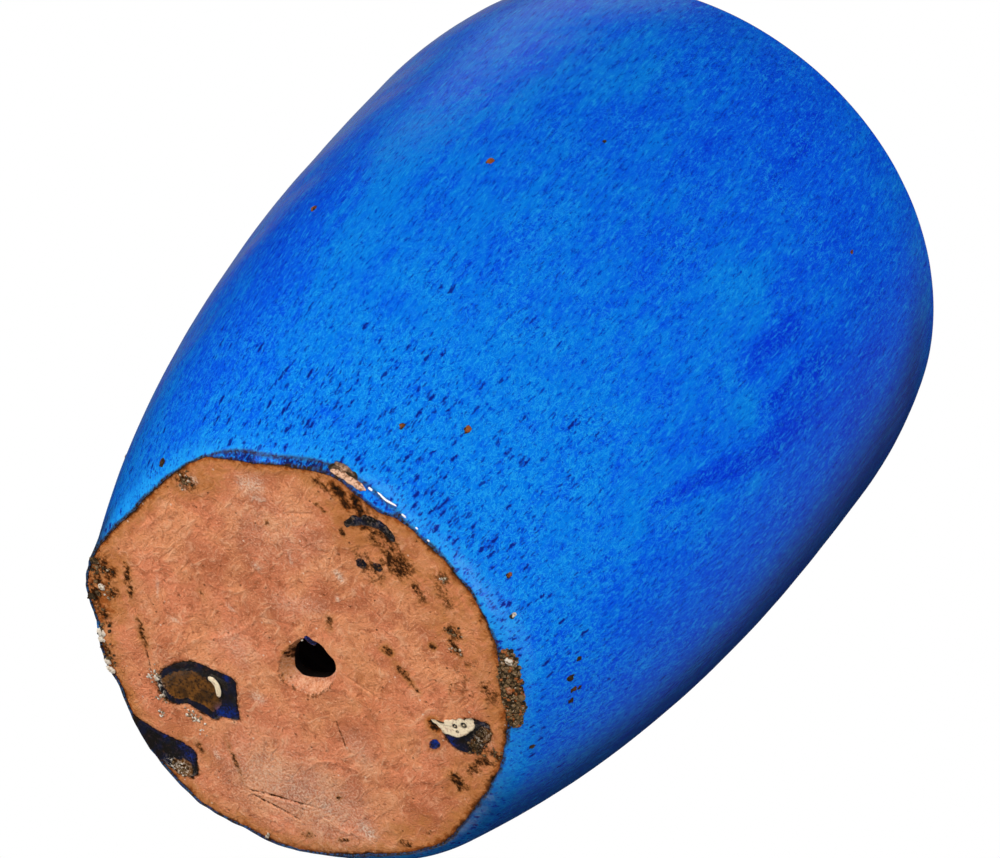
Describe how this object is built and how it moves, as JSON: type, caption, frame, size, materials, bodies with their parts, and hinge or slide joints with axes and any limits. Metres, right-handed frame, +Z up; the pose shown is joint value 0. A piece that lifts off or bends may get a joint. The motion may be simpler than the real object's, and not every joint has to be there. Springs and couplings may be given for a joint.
{
  "type": "ceramic plant pot",
  "caption": "Tall egg-shaped clay garden pot with a bright blue glaze, rounded lip, bare clay foot and central drain hole; stands on the ground and holds soil and a plant.",
  "frame": {"origin": "middle of the flat face that the pot stands on", "axes": "+Z up along the pot's axis from foot to rim; +X and +Y across the foot"},
  "size_m": [0.3444, 0.3444, 0.431],
  "materials": {
    "clay": "bare fired red clay, matt, rough and stained",
    "blue_glaze": "glossy mottled cobalt blue glaze with dark streaks",
    "navy_glaze": "thick glossy dark blue glaze with grit in it",
    "brown_glaze": "glossy brown glass, pooled in the clay",
    "cream_flake": "pale broken ceramic, matt",
    "grit": "coarse brown kiln grit, rough"
  },
  "bodies": {
    "root": {"base_slab": "clay", "seam_fillet": "clay", "lower_wall": "clay", "middle_wall": "clay", "upper_wall": "clay", "shoulder_wall": "clay", "rim_coil": "clay", "outer_glaze": "blue_glaze", "rim_glaze": "blue_glaze", "pool_left": "brown_glaze", "pool_right": "navy_glaze", "pool_edge": "navy_glaze", "pool_arc": "brown_glaze", "glaze_drop_1": "brown_glaze", "glaze_drop_2": "brown_glaze", "glaze_drop_3": "navy_glaze", "hole_fleck": "blue_glaze", "flake_left": "cream_flake", "flake_right": "cream_flake", "grit_crust_right": "grit", "grit_crust_left": "grit", "foot_glaze_roll": "cream_flake"}
  },
  "joints": []
}
